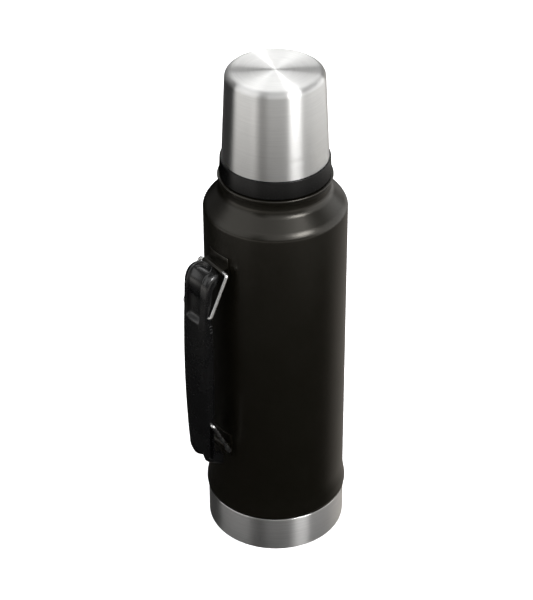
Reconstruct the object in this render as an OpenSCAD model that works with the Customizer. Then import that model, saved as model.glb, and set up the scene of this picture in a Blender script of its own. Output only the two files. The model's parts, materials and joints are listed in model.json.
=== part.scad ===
// Insulated growler: a double-wall vacuum bottle with a screw-in stopper,
// a screw-on drinking cup and a fold-away wire-and-grip carrying handle.
// Millimetres, +Z up, origin at the centre of the underside, handle on +X.

/* [Body] */
// Outside diameter of the painted body
body_d = 96; // [90:1:102]
// Height of the painted rim that the cup sits over
rim_z = 284.2; // [270:0.1:290]
// Outside diameter of that rim
rim_d = 76.4; // [74:0.1:78]
// Wall of the outer shell
shell_wall = 0.6; // [0.5:0.1:0.8]
// Wall of the inner liner
liner_wall = 0.5; // [0.4:0.1:0.7]
// Inside diameter of the liner, which sets the capacity
liner_bore_d = 76; // [70:1:80]
// Inside diameter of the bottle's mouth
mouth_d = 54; // [53:0.5:54.5]

/* [Base] */
// Outside diameter of the steel base cup
base_d = 97; // [96:0.5:98]
// Height of the steel base cup
base_h = 27.4; // [22:0.2:30]
// Outside diameter of the bead where the paint ends
bead_d = 99.2; // [98:0.1:100]

/* [Cup] */
// Height of the whole object, to the top of the cup
total_h = 359; // [356:1:364]
// Outside diameter of the steel cup at its lower edge
cup_low_d = 70.3; // [70:0.1:70.6]
// Outside diameter of the steel cup just under its rounded top edge
cup_high_d = 64.9; // [63:0.1:67]
// Radius of the cup's rounded top edge
cup_edge_r = 5; // [4:0.5:6]
// Height of the black collar under the steel cup
collar_h = 12.8; // [11:0.1:14]

/* [Handle] */
// Diameter of the handle's wire
wire_d = 2.6; // [2.2:0.1:2.8]
// Distance of each wire's pivot bar from the bottle's axis
bar_x = 52; // [51:0.5:53]
// Height of the upper pivot bar
top_bar_z = 231.6; // [228:0.2:233]
// Height of the lower pivot bar
bottom_bar_z = 85.8; // [84:0.1:90]
// Distance of the wire ends from the bottle's axis when the handle is folded in
pin_x = 66; // [65:0.5:67]
// Rise or fall of each wire from its bar to its end
leg_rise = 28.4; // [27:0.1:29]
// Half the distance between the two legs of a wire
leg_y = 14.2; // [14:0.1:15]
// Width of the grip
grip_w = 25; // [24:0.5:25.5]

/* [Stopper] */
// Height of the stopper's finger grip above its flange
knob_h = 12; // [8:1:20]
// Ribs around the finger grip
knob_ribs = 24; // [12:2:36]

/* [Hidden] */
$fn = 96;

body_r = body_d / 2;
rim_r = rim_d / 2;
liner_r = liner_bore_d / 2;
mouth_r = mouth_d / 2;
base_r = base_d / 2;
bead_r = bead_d / 2;
wire_r = wire_d / 2;
lip_z = 302;                 // top of the mouth's rolled lip
lip_t = 0.6;
neck_r = 31;                 // outside of the neck under the cup
throat_r = 23.8;             // narrow throat that the stopper's gasket seats on
throat_z = 271.5;
ridge = 0.9;                 // height of a thread ridge
thread_gap = 0.1;            // room between the crests of mating threads
running_gap = 0.06;          // room round a turning pin

// ---------- helpers ----------

// Points of an arc about (cx, cy), from angle a0 to a1 in n steps
function arc(cx, cy, r, a0, a1, n = 8) =
    [for (i = [0:n]) let (a = a0 + (a1 - a0) * i / n) [cx + r * cos(a), cy + r * sin(a)]];

// A list of points in reverse order
function reversed(p) = [for (i = [len(p) - 1:-1:0]) p[i]];

// Unit normal on the left of an open outline at point i
function left_normal(p, i) =
    let (a = p[max(i - 1, 0)], b = p[min(i + 1, len(p) - 1)], d = b - a) [-d[1], d[0]] / norm(d);

// The outline moved sideways by t, to the left when t is positive, and never past the axis
function shifted(p, t) =
    [for (i = [0:len(p) - 1]) let (q = p[i] + t * left_normal(p, i)) [max(q[0], 0), q[1]]];

// A turned sheet-metal wall: the outline p and the same outline moved sideways by t
module turned_wall(p, t) {
    rotate_extrude()
        polygon(concat(p, reversed(shifted(p, t))));
}

// A straight tube between two heights
module tube(r_out, r_in, z0, z1) {
    translate([0, 0, z0])
        difference() {
            cylinder(r = r_out, h = z1 - z0);
            translate([0, 0, -1])
                cylinder(r = r_in, h = z1 - z0 + 2);
        }
}

// A solid disc between two heights
module disc(r, z0, z1) {
    translate([0, 0, z0])
        cylinder(r = r, h = z1 - z0);
}

// A rounded thread ridge, drawn as rings that stand proud of a wall by the ridge height
module thread_rings(r_wall, r_crest, z0, pitch, count) {
    for (i = [0:count - 1])
        rotate_extrude()
            polygon([[r_wall, z0 + i * pitch - 1.3], [r_crest, z0 + i * pitch - 0.5],
                     [r_crest, z0 + i * pitch + 0.5], [r_wall, z0 + i * pitch + 1.3]]);
}

// ---------- bottle ----------

bead_z = base_h + 1.2;       // underside of the paint bead
flare_z = 46;                // where the body starts to flare towards the bead
shell_low_z = 4;
tuck_r = base_r - 1.1;       // the shell runs on down inside the base cup at this radius

// Shoulder: rim, a waist just under it, cove, cone and two blended corners
waist_r = rim_r - 1.6;
band_h = 7.8;
cove_r = 8;
cone_a = 45;                 // slope of the cone from level
blend_r = 14;
blend_a = 62;
corner_r = 5;
cove_end = [waist_r + cove_r * (1 - sin(cone_a)), rim_z - band_h - cove_r * cos(cone_a)];
corner_x = body_r - corner_r * (1 - sin(blend_a));
blend_x = corner_x - blend_r * (sin(blend_a) - sin(cone_a));
blend_z = cove_end[1] - (blend_x - cove_end[0]) * tan(cone_a);
blend_c = [blend_x - blend_r * sin(cone_a), blend_z - blend_r * cos(cone_a)];
corner_z = blend_c[1] + blend_r * cos(blend_a);
corner_c = [corner_x - corner_r * sin(blend_a), corner_z - corner_r * cos(blend_a)];

// Outside of the shell, from the tucked lower edge up to the neck's top
shell_outline = concat(
    [[tuck_r, shell_low_z], [tuck_r, bead_z - 0.4]],
    [[bead_r - 0.6, bead_z]],
    arc(bead_r - 2, bead_z + 2.6, 2, -30, 20, 5),
    [[body_r + 0.62, 38], [body_r + 0.16, 42]],
    [[body_r, flare_z]],
    arc(corner_c[0], corner_c[1], corner_r, 0, 90 - blend_a, 6),
    arc(blend_c[0], blend_c[1], blend_r, 90 - blend_a, 90 - cone_a, 5),
    reversed(arc(waist_r + cove_r, rim_z - band_h, cove_r, 180, 270 - cone_a, 8)),
    [[waist_r + 0.2, rim_z - 4.5]],
    arc(rim_r - 1, rim_z - 1, 1, -40, 90, 6),
    [[neck_r + 2.2, rim_z]],
    reversed(arc(neck_r + 2.2, rim_z + 2.2, 2.2, 180, 270, 5)),
    [[neck_r, lip_z - lip_t]]);

module outer_shell() {
    color([0.09, 0.085, 0.08]) {
        turned_wall(shell_outline, shell_wall);
        thread_rings(neck_r - 0.1, neck_r + ridge, rim_z + 6, 5, 2);
    }
}

// Inside of the liner's welded bottom, from its centre up to the seam
liner_low_z = 14;
liner_seam_z = 26;
liner_corner = 9;
liner_bottom_outline = concat(
    [[0, liner_low_z + 1.5], [liner_r - liner_corner, liner_low_z]],
    arc(liner_r - liner_corner, liner_low_z + liner_corner, liner_corner, -80, 0, 8),
    [[liner_r, liner_seam_z]]);

// Inside of the liner, from the seam up to the lip
liner_top_z = 244;           // where the liner starts to draw in to the throat
liner_outline = concat(
    [[liner_r, liner_seam_z]],
    arc(liner_r - 12, liner_top_z, 12, 0, 60, 8),
    [[throat_r + 2, 261.5], [throat_r, 265], [throat_r, throat_z - 0.5], [throat_r + 0.6, throat_z]],
    [[mouth_r - 0.6, throat_z + 0.6], [mouth_r, throat_z + 1.4], [mouth_r, lip_z - 1]]);

module inner_liner() {
    color([0.72, 0.72, 0.72]) {
        turned_wall(liner_outline, -liner_wall);
        tube(mouth_r + liner_wall, mouth_r, lip_z - 1.2, lip_z);
        tube(neck_r, mouth_r, lip_z - lip_t, lip_z);
        thread_rings(mouth_r + 0.1, mouth_r - ridge + 0.1, lip_z - 15, 5, 3);
    }
}

module liner_bottom() {
    color([0.72, 0.72, 0.72])
        turned_wall(liner_bottom_outline, -liner_wall);
}

module foil_wrap() {
    color([0.8, 0.5, 0.35])
        tube(liner_r + liner_wall + 0.2, liner_r + liner_wall + 0.02, liner_seam_z + 0.5, liner_top_z - 6);
}

// Dished disc that closes the space between shell and liner
module vacuum_bottom() {
    color([0.65, 0.65, 0.66])
        difference() {
            union() {
                disc(tuck_r - shell_wall, 5, 5.8);
                tube(tuck_r - shell_wall, tuck_r - shell_wall - 0.8, 5, 10);
            }
            translate([0, 0, 4])
                cylinder(r = 1.2, h = 3);
        }
}

// Disc that closes the exhaust hole after the air is drawn out
module exhaust_seal() {
    color([0.35, 0.35, 0.36])
        disc(5, 4.2, 5);
}

// Pill that soaks up the last gas in the vacuum space
module getter() {
    color([0.5, 0.5, 0.52])
        translate([20, 0, 5.8])
            cylinder(r = 5, h = 2);
}

// Thin black sealing bead between the paint and the steel base
module seal_bead() {
    color([0.02, 0.02, 0.02])
        tube(base_r - 0.5, tuck_r, base_h, bead_z - 0.5);
}

base_wall = 0.8;
foot_edge_r = 2;
module base_cup() {
    color([0.62, 0.61, 0.6])
        difference() {
            rotate_extrude()
                polygon(concat([[0, 0]],
                    arc(base_r - foot_edge_r, foot_edge_r, foot_edge_r, -90, 0, 6),
                    arc(base_r - 0.4, base_h - 0.4, 0.4, 0, 90, 3),
                    [[tuck_r, base_h], [tuck_r, 3], [tuck_r - 2, base_wall], [0, base_wall]]));
            rotate_extrude()
                polygon([[27, -1], [39, -1], [39, 0], [38.6, 0.4], [27.4, 0.4], [27, 0]]);
        }
}

// ---------- handle ----------

bracket_t = 1;
bracket_w = 19.6;            // length of the curl that holds the wire's bar
plate_half_h = 9.2;
curl_r = wire_r + running_gap + 0.9;
leg_x = pin_x - bar_x;

// Bracket welded to the body: a curved plate and a curl round the wire's bar
module bracket(z) {
    plate_a = asin(bracket_w / 2 / body_r);
    difference() {
        union() {
            rotate([0, 0, -plate_a])
                rotate_extrude(angle = 2 * plate_a)
                    polygon([[body_r, z - plate_half_h], [body_r + 0.6, z - plate_half_h],
                             [body_r + bracket_t, z - plate_half_h + 0.6],
                             [body_r + bracket_t, z + plate_half_h - 0.6],
                             [body_r + 0.6, z + plate_half_h], [body_r, z + plate_half_h]]);
            intersection() {
                translate([body_r - 3, -bracket_w / 2, z - curl_r])
                    cube([bar_x - body_r + 3, bracket_w, 2 * curl_r]);
                tube(bar_x + 1, body_r, z - 10, z + 10);
            }
            translate([bar_x, bracket_w / 2, z])
                rotate([90, 0, 0])
                    cylinder(r = curl_r, h = bracket_w);
        }
        translate([bar_x, bracket_w / 2 + 1, z])
            rotate([90, 0, 0])
                cylinder(r = wire_r + running_gap, h = bracket_w + 2);
    }
}

module top_bracket() {
    color([0.09, 0.085, 0.08])
        bracket(top_bar_z);
}

module bottom_bracket() {
    color([0.09, 0.085, 0.08])
        bracket(bottom_bar_z);
}

// Bent wire, drawn flat: pivot bar along X, two legs along Y and two inward ends
pin_y = 9.4;                 // how far in the wire's ends reach
bend_r = 1.6;
module flat_wire(leg_len) {
    rotate([0, 90, 0])
        translate([0, 0, bend_r - leg_y])
            cylinder(r = wire_r, h = 2 * (leg_y - bend_r));
    for (s = [0, 1])
        mirror([s, 0, 0]) {
            translate([leg_y - bend_r, bend_r, 0])
                rotate([0, 0, -90])
                    wire_bend();
            translate([leg_y, bend_r, 0])
                rotate([-90, 0, 0])
                    cylinder(r = wire_r, h = leg_len - 2 * bend_r);
            translate([leg_y - bend_r, leg_len - bend_r, 0])
                wire_bend();
            translate([pin_y, leg_len, 0])
                rotate([0, 90, 0])
                    cylinder(r = wire_r, h = leg_y - bend_r - pin_y);
        }
}

// A quarter turn of the wire
module wire_bend() {
    rotate_extrude(angle = 90)
        translate([bend_r, 0])
            circle(r = wire_r);
}

// A wire in place; dir is -1 where its legs hang down from the bar and 1 where they stand up
module wire(bar_z, dir) {
    translate([bar_x, 0, bar_z])
        rotate([0, atan2(leg_x, dir * leg_rise), 0])
            rotate([90, 0, 90])
                flat_wire(sqrt(leg_x * leg_x + leg_rise * leg_rise));
}

module top_wire() {
    color([0.85, 0.85, 0.85])
        wire(top_bar_z, -1);
}

module bottom_wire() {
    color([0.85, 0.85, 0.85])
        wire(bottom_bar_z, 1);
}

// The grip is lofted along a spine: each station has an inner point, an outer point and a half width
grip_hw = grip_w / 2;
grip_mid_z = 155;
grip_in_x = 63.4;
function face_x(z) = 72.3 - 0.00075 * pow(z - grip_mid_z, 2);
grip_stations = concat(
    [[[56, 227.4], [55.6, 233.2], 8.8], [[56, 226.4], [55.8, 234.8], 10.4],
     [[57.2, 225.6], [57.6, 235.6], 11.4], [[60, 224.6], [60.8, 235.5], 12.1],
     [[62, 222.6], [64.6, 233.8], 12.4], [[62.8, 219], [68, 229.2], grip_hw],
     [[63.2, 214.6], [69.3, 222], grip_hw]],
    [for (z = [212:-14:100]) [[grip_in_x, z], [face_x(z), z], grip_hw]],
    [[[63.2, 94], [69.2, 89.5], 12.4], [[62.6, 90.4], [68.9, 83.8], 12.2], [[60.4, 87], [66.6, 78.8], 12],
     [[57, 84.4], [61.4, 74.4], 11.6], [[54.8, 82.6], [55.8, 71.2], 10.8], [[54.2, 80.8], [54.4, 72.6], 10]]);

// Section shape: fraction of the half width, and fraction of the way from inner to outer point
grip_section = concat([[-0.9, 0], [0.9, 0], [1, 0.12], [1, 0.46]],
    [for (a = [20:20:160]) [cos(a), 0.46 + 0.54 * pow(sin(a), 0.8)]],
    [[-1, 0.46], [-1, 0.12]]);

// A closed loft through stations [inner, outer, half width] with a section of [across, depth] pairs
module loft(stations, section) {
    n = len(section);
    m = len(stations);
    points = [for (s = stations, q = section)
        let (p = s[0] + q[1] * (s[1] - s[0])) [p[0], q[0] * s[2], p[1]]];
    sides = [for (i = [0:m - 2], j = [0:n - 1])
        [(i + 1) * n + j, (i + 1) * n + (j + 1) % n, i * n + (j + 1) % n, i * n + j]];
    cap_a = [for (j = [0:n - 1]) j];
    cap_b = [for (j = [n - 1:-1:0]) (m - 1) * n + j];
    polyhedron(points = points, faces = concat(sides, [cap_a, cap_b]), convexity = 6);
}

// The thumb pocket runs over the top of the grip and ends in a ledge
pocket_hw = 7;
pocket_end_z = 197.5;
pocket_stations = [
    [[58.6, 233], [58.6, 241], 5.4], [[60.2, 232.8], [60.6, 241], 6.6],
    [[63, 231], [66, 239], pocket_hw], [[65.4, 227.2], [73, 233.4], pocket_hw],
    [[66.6, 221.6], [77, 224], pocket_hw], [[67.4, 212], [77, 212], pocket_hw],
    [[67.9, pocket_end_z], [77, pocket_end_z], pocket_hw]];
pocket_section = [[-1, 0], [1, 0], [1, 1], [-1, 1]];

swing = 38;                  // how far the handle swings out, in degrees
leg_len = norm([leg_x, leg_rise]);
leg_a = atan2(leg_x, leg_rise);
top_pin_z = top_bar_z - leg_rise;
bottom_pin_z = bottom_bar_z + leg_rise;
slot_play = 0.4;             // spare length of the slots that the lower wire's ends run in
slot_low_z = bottom_pin_z - 2 * leg_len * (cos(leg_a) - cos(leg_a + swing)) - slot_play;
notch_hw = 6;                // the notch between the two ears of the grip's foot
notch_top_z = 86;

module grip_body() {
    color([0.05, 0.05, 0.055])
        difference() {
            loft(grip_stations, grip_section);
            loft(pocket_stations, pocket_section);
            translate([50, -notch_hw, notch_top_z - 20])
                cube([25, 2 * notch_hw, 20]);
            translate([pin_x, 0, top_pin_z])
                rotate([90, 0, 0])
                    for (s = [-1, 1])
                        translate([0, 0, s * 12 - 3])
                            cylinder(r = wire_r + running_gap, h = 6);
            for (s = [-1, 1])
                translate([pin_x, s * 12, slot_low_z])
                    lower_slot();
        }
}

// Slot in the side of the grip, long enough for the lower wire's whole travel
module lower_slot() {
    slot_r = wire_r + 0.15;
    travel = bottom_pin_z - slot_low_z;
    translate([0, 3, 0])
        rotate([90, 0, 0]) {
            cylinder(r = slot_r, h = 6);
            translate([0, travel, 0])
                cylinder(r = slot_r, h = 6);
            translate([-slot_r, 0, 0])
                cube([2 * slot_r, travel, 6]);
        }
}

// Inner cover plate of the grip, against the fingers
cover_t = 1.2;
cover_low_z = 120;
cover_high_z = 192;
module grip_cover() {
    color([0.07, 0.07, 0.075])
        translate([grip_in_x - cover_t, -grip_hw + 0.8, cover_low_z])
            cube([cover_t, grip_w - 1.6, cover_high_z - cover_low_z]);
}

// ---------- stopper ----------

shank_r = mouth_r - ridge - thread_gap - 0.7;
crest_r = mouth_r - ridge - thread_gap + 0.1;
flange_z = lip_z + 1.2;
flange_r = 30.4;
knob_r = 24.5;
stopper_top_z = flange_z + 3.2 + knob_h;
cavity_r = 21.6;

module stopper_body() {
    color([0.06, 0.06, 0.065])
        difference() {
            union() {
                disc(shank_r, throat_z + 4.2, flange_z + 0.1);
                disc(flange_r, flange_z, flange_z + 3.2);
                disc(knob_r, flange_z + 3, stopper_top_z);
                thread_rings(shank_r - 0.1, crest_r, lip_z - 17.5, 5, 3);
                for (i = [0:knob_ribs - 1])
                    rotate([0, 0, 360 / knob_ribs * i])
                        translate([knob_r, 0, flange_z + 3])
                            cylinder(r = 1, h = knob_h - 1.5);
            }
            disc(cavity_r, throat_z + 3, stopper_top_z - 3);
            disc(cavity_r - 1.5, stopper_top_z - 4, stopper_top_z - 1.6);
            disc(cavity_r + 0.6, stopper_top_z - 1.6, stopper_top_z + 1);
        }
}

// Disc pressed into the top of the stopper
module stopper_cap() {
    color([0.05, 0.05, 0.055])
        disc(cavity_r + 0.6, stopper_top_z - 1.6, stopper_top_z - 0.3);
}

// Insulating foam inside the stopper
module stopper_foam() {
    color([0.9, 0.88, 0.8])
        disc(cavity_r, throat_z + 4.2, stopper_top_z - 3);
}

// Lower cap of the stopper, which carries the gasket
module stopper_plug() {
    color([0.06, 0.06, 0.065]) {
        disc(throat_r - 0.6, throat_z - 5, throat_z + 1.4);
        disc(throat_r - 1.6, throat_z + 1.3, throat_z + 4.2);
    }
}

// Silicone gasket that seats on the throat
module stopper_gasket() {
    color([0.75, 0.75, 0.73])
        tube(crest_r - 0.2, throat_r - 1.6, throat_z + 1.4, throat_z + 4.2);
}

// Ring between the stopper's flange and the mouth's lip
module stopper_flange_seal() {
    color([0.75, 0.75, 0.73])
        tube(flange_r - 0.2, mouth_r + 0.4, lip_z, flange_z);
}

// ---------- cup ----------

collar_low_z = rim_z + 0.4;
ledge_z = collar_low_z + collar_h - 0.4;
cup_low_r = cup_low_d / 2;
cup_high_r = cup_high_d / 2;
cup_wall = 0.5;
cup_outline = concat(
    [[cup_low_r, ledge_z + 0.05]],
    arc(cup_high_r - cup_edge_r, total_h - cup_edge_r, cup_edge_r, 2.8, 90, 8),
    [[0, total_h]]);

module cup_shell() {
    color([0.78, 0.78, 0.77])
        turned_wall(cup_outline, cup_wall);
}

// Plastic inside of the cup, in one piece with its black collar
collar_low_r = 36.9;
collar_high_r = 36.3;
bore_r = neck_r + ridge + thread_gap + 1.3;
liner_seat_z = ledge_z + 6;
cup_liner_low_r = 30.6;
cup_liner_high_r = 28.2;
cup_liner_top_z = total_h - 5.5;
module cup_liner() {
    color([0.05, 0.05, 0.055]) {
        rotate_extrude()
            polygon(concat(
                [[bore_r, collar_low_z], [collar_low_r - 0.5, collar_low_z]],
                [[collar_low_r, collar_low_z + 0.5],
                 [collar_high_r, ledge_z - 0.8], [collar_high_r - 0.8, ledge_z]],
                [[cup_low_r - cup_wall - 0.05, ledge_z], [cup_low_r - cup_wall - 0.35, liner_seat_z]],
                [[cup_liner_low_r + 1.4, liner_seat_z + 2.5], [cup_liner_high_r + 1.4, cup_liner_top_z - 2],
                 [cup_liner_high_r - 0.4, cup_liner_top_z + 1.4], [0, cup_liner_top_z + 1.4]],
                [[0, cup_liner_top_z]],
                reversed(arc(cup_liner_high_r - 4, cup_liner_top_z - 4, 4, 2, 90, 5)),
                [[cup_liner_low_r, liner_seat_z + 2], [bore_r, liner_seat_z - 1]]));
        thread_rings(bore_r + 0.1, neck_r + ridge + thread_gap, rim_z + 3.5, 5, 2);
    }
}

// Insulating foam between the cup's steel and its plastic
module cup_foam() {
    color([0.9, 0.88, 0.8])
        rotate_extrude()
            polygon([[cup_liner_low_r + 1.7, liner_seat_z + 2.8],
                     [cup_low_r - cup_wall - 1, liner_seat_z + 2.8],
                     [cup_high_r - cup_wall - 0.5, total_h - cup_edge_r - 0.5],
                     [cup_high_r - cup_edge_r, total_h - cup_wall - 0.4], [0, total_h - cup_wall - 0.4],
                     [0, cup_liner_top_z + 1.6], [cup_liner_high_r - 0.2, cup_liner_top_z + 1.6],
                     [cup_liner_high_r + 1.7, cup_liner_top_z - 1.9]]);
}

outer_shell();
inner_liner();
liner_bottom();
foil_wrap();
vacuum_bottom();
exhaust_seal();
getter();
seal_bead();
base_cup();
top_bracket();
bottom_bracket();
top_wire();
bottom_wire();
grip_body();
grip_cover();
stopper_body();
stopper_cap();
stopper_foam();
stopper_plug();
stopper_gasket();
stopper_flange_seal();
cup_shell();
cup_liner();
cup_foam();
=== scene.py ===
"""Studio picture of an insulated growler, built round its CAD frame.

The helpers work in millimetres, and Shape.object turns them into metres. Lights and camera are in metres.
"""
import json
import math

import bmesh
import bpy
from mathutils import Matrix, Vector


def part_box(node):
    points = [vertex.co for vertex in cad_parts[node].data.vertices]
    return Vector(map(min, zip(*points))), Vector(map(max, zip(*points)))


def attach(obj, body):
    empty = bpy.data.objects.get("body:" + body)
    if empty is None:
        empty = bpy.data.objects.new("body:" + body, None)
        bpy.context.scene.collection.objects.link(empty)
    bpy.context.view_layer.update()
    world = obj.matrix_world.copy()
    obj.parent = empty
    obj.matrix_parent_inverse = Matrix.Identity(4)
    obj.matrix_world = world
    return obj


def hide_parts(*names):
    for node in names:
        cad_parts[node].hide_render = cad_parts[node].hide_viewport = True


MM = 0.001
rad = math.radians
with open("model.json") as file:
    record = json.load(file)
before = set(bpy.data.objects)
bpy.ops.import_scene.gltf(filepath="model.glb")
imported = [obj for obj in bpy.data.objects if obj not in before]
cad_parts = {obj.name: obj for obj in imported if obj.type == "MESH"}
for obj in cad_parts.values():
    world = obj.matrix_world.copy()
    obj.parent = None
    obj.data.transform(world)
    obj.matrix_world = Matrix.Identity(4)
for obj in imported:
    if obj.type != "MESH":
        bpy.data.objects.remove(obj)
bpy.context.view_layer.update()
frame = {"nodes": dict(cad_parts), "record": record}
joints = {j["name"]: j for j in frame["record"]["behaviour"]["joints"]}


def low(node):
    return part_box(node)[0] / MM


def high(node):
    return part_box(node)[1] / MM


# ---------------------------------------------------------------- sizes, read from the CAD frame

SHELL_WALL, LINER_WALL, CUP_WALL = 0.6, 0.5, 0.5
BEAD_STEP, FOIL_GAP, RIM_GAP = 1.6, 0.7, 0.4
BASE_R, BASE_Z = high("base_cup").x, high("base_cup").z
BEAD_R = -low("outer_shell").x
BODY_R = high("outer_shell").x - BEAD_STEP
LIP_Z = high("inner_liner").z
LINER_LOW, LINER_R = low("liner_bottom").z + LINER_WALL, high("foil_wrap").x - FOIL_GAP
COLLAR_Z, COLLAR_R = low("cup_liner").z, high("cup_liner").x
CUP_TOP, CUP_LOW_R, CUP_LOW_Z = high("cup_shell").z, high("cup_shell").x, low("cup_shell").z
RIM_Z = COLLAR_Z - RIM_GAP
FLANGE_R, STOPPER_TOP = high("stopper_body").x, high("stopper_body").z
FLANGE_Z = high("stopper_flange_seal").z
PLUG_LOW, PLUG_TOP = low("stopper_plug").z, high("stopper_plug").z
GASKET_LOW, GASKET_HIGH = low("stopper_gasket").z, high("stopper_gasket").z
GASKET_R = high("stopper_gasket").x
TOP_BAR = Vector(joints["handle_swing"]["pos_m"]) / MM
LOW_BAR = Vector(joints["lower_wire_swing"]["pos_m"]) / MM
TOP_PIN = Vector(joints["grip_follow"]["pos_m"]) / MM
LOW_PIN = Vector((TOP_PIN.x, 0, LOW_BAR.z + TOP_BAR.z - TOP_PIN.z))
WIRE_R = high("top_wire").z - TOP_BAR.z
LEG_Y = high("top_wire").y - WIRE_R

# Sizes that no box shows
NECK_R, RIM_R = 31.0, 38.2
THROAT_R, THROAT_Z, MOUTH_R = 23.8, 271.5, 27.0
RIDGE, PITCH = 0.9, 5
WIRE_PLAY, SLOT_PLAY, SLOT_SPARE = 0.06, 0.15, 0.4

# ---------------------------------------------------------------- mesh helpers

# Angles in degrees from which an edge is drawn sharp
SHARP, SHARP_GRIP, SHARP_CUT = 38, 50, 35

# Half angle from which a corner counts as straight, and the share of a side that a rounded corner may take
STRAIGHT, REACH = rad(88), 0.48
ON_AXIS = 1e-4

# A thread's section as places across it and rises, and the share of its length over which it fades in
THREAD_SECTION = [(-1.0, -0.25), (-0.62, 0.35), (-0.34, 0.9), (-0.12, 1.0),
                  (0.12, 1.0), (0.34, 0.9), (0.62, 0.35), (1.0, -0.25)]
THREAD_HALF, THREAD_STEPS = 1.25, 96
RUN_IN, LEAST_RIDGE = 1 / 7, 0.02

# Rings of a rod's rounded end, as a share of its radius and of the end's length
DOME, DOME_LENGTH = [(0.72, 1.0), (0.92, 0.55)], 0.35


def shade(mesh, sharp):
    """Smooth shading everywhere but at edges sharper than the angle in degrees."""
    mesh.polygons.foreach_set("use_smooth", [True] * len(mesh.polygons))
    mesh.set_sharp_from_angle(angle=rad(sharp))


class Shape:
    """Vertices and faces gathered for one object; each face remembers its material index."""

    def __init__(self):
        self.verts, self.faces, self.mats = [], [], []

    def add(self, verts, faces, mat=0):
        start = len(self.verts)
        self.verts += [Vector(v) for v in verts]
        self.faces += [[start + i for i in f] for f in faces]
        self.mats += [mat] * len(faces)
        return self

    def object(self, name, materials, sharp=SHARP):
        mesh = bpy.data.meshes.new(name)
        mesh.from_pydata([v * MM for v in self.verts], [], self.faces)
        for m in materials:
            mesh.materials.append(m)
        mesh.polygons.foreach_set("material_index", self.mats)
        work = bmesh.new()
        work.from_mesh(mesh)
        bmesh.ops.recalc_face_normals(work, faces=work.faces)
        work.to_mesh(mesh)
        work.free()
        shade(mesh, sharp)
        obj = bpy.data.objects.new(name, mesh)
        bpy.context.scene.collection.objects.link(obj)
        return obj


def smooth(x, start, end):
    """0 before start, 1 after end and a smooth step between them."""
    t = max(0.0, min(1.0, (x - start) / (end - start)))
    return t * t * (3 - 2 * t)


def arc(cx, cz, r, a0, a1, n=10):
    """Points of a circle round (cx, cz), from a0 to a1 degrees."""
    return [(cx + r * math.cos(rad(a0 + (a1 - a0) * i / n)),
             cz + r * math.sin(rad(a0 + (a1 - a0) * i / n))) for i in range(n + 1)]


def backwards(points):
    return list(reversed(points))


def rounded(points, radii, n=5):
    """An open outline with its inner corners rounded, by one radius or by one for each point."""
    out = [points[0]]
    for i in range(1, len(points) - 1):
        r = radii[i] if isinstance(radii, (list, tuple)) else radii
        p, a, b = Vector(points[i]), Vector(points[i - 1]), Vector(points[i + 1])
        u, v = (a - p), (b - p)
        lu, lv = u.length, v.length
        u, v = u / lu, v / lv
        half = math.acos(max(-1, min(1, u.dot(v)))) / 2
        if r <= 0 or half > STRAIGHT:
            out.append(tuple(p))
            continue
        d = min(r / math.tan(half), lu * REACH, lv * REACH)
        start, end = p + u * d, p + v * d
        for k in range(n + 1):
            t = k / n
            out.append(tuple((1 - t) ** 2 * start + 2 * t * (1 - t) * p + t * t * end))
    out.append(points[-1])
    return out


def shifted(points, t):
    """The outline moved sideways by t, left when positive, never past the axis."""
    out = []
    for i in range(len(points)):
        a, b = Vector(points[max(i - 1, 0)]), Vector(points[min(i + 1, len(points) - 1)])
        d = (b - a).normalized()
        out.append((max(points[i][0] - t * d.y, 0.0), points[i][1] + t * d.x))
    return out


def lathe(outline, steps, ripple=None, closed=True):
    """An outline of (radius, height) turned about Z. ripple(angle, r, z) gives a new radius."""
    verts, rings, faces = [], [], []
    for r, z in outline:
        if r < ON_AXIS:
            rings.append([len(verts)])
            verts.append((0, 0, z))
        else:
            ring = []
            for k in range(steps):
                a = 2 * math.pi * k / steps
                rr = ripple(a, r, z) if ripple else r
                ring.append(len(verts))
                verts.append((rr * math.cos(a), rr * math.sin(a), z))
            rings.append(ring)
    pairs = list(zip(rings, rings[1:]))
    if closed and not (len(rings[0]) == 1 and len(rings[-1]) == 1):
        pairs.append((rings[-1], rings[0]))
    for a, b in pairs:
        for k in range(steps):
            n = (k + 1) % steps
            if len(a) == 1 and len(b) == 1:
                continue
            if len(a) == 1:
                faces.append((a[0], b[k], b[n]))
            elif len(b) == 1:
                faces.append((a[k], b[0], a[n]))
            else:
                faces.append((a[k], b[k], b[n], a[n]))
    return verts, faces


def skin(rings):
    """Quads between closed rings of equal length, with a flat cap at both ends."""
    n = len(rings[0])
    verts = [p for ring in rings for p in ring]
    faces = []
    for i in range(len(rings) - 1):
        for j in range(n):
            k = (j + 1) % n
            faces.append((i * n + j, i * n + k, (i + 1) * n + k, (i + 1) * n + j))
    faces.append(tuple(range(n)))
    faces.append(tuple((len(rings) - 1) * n + j for j in reversed(range(n))))
    return verts, faces


def helix(r_wall, r_crest, z0, turns, start):
    """A thread: a rounded ridge along a true helix that fades in and out at its ends."""
    steps = int(THREAD_STEPS * turns)
    rings = []
    for i in range(steps + 1):
        t = i / steps
        fade = LEAST_RIDGE + (1 - LEAST_RIDGE) * smooth(min(t, 1 - t), 0, RUN_IN)
        a = rad(start) + 2 * math.pi * turns * t
        z = z0 + PITCH * turns * t
        ring = []
        for across, rise in THREAD_SECTION:
            r = r_wall + (r_crest - r_wall) * (rise * fade if rise > 0 else rise)
            ring.append((r * math.cos(a), r * math.sin(a), z + across * THREAD_HALF))
        rings.append(ring)
    return skin(rings)


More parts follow.
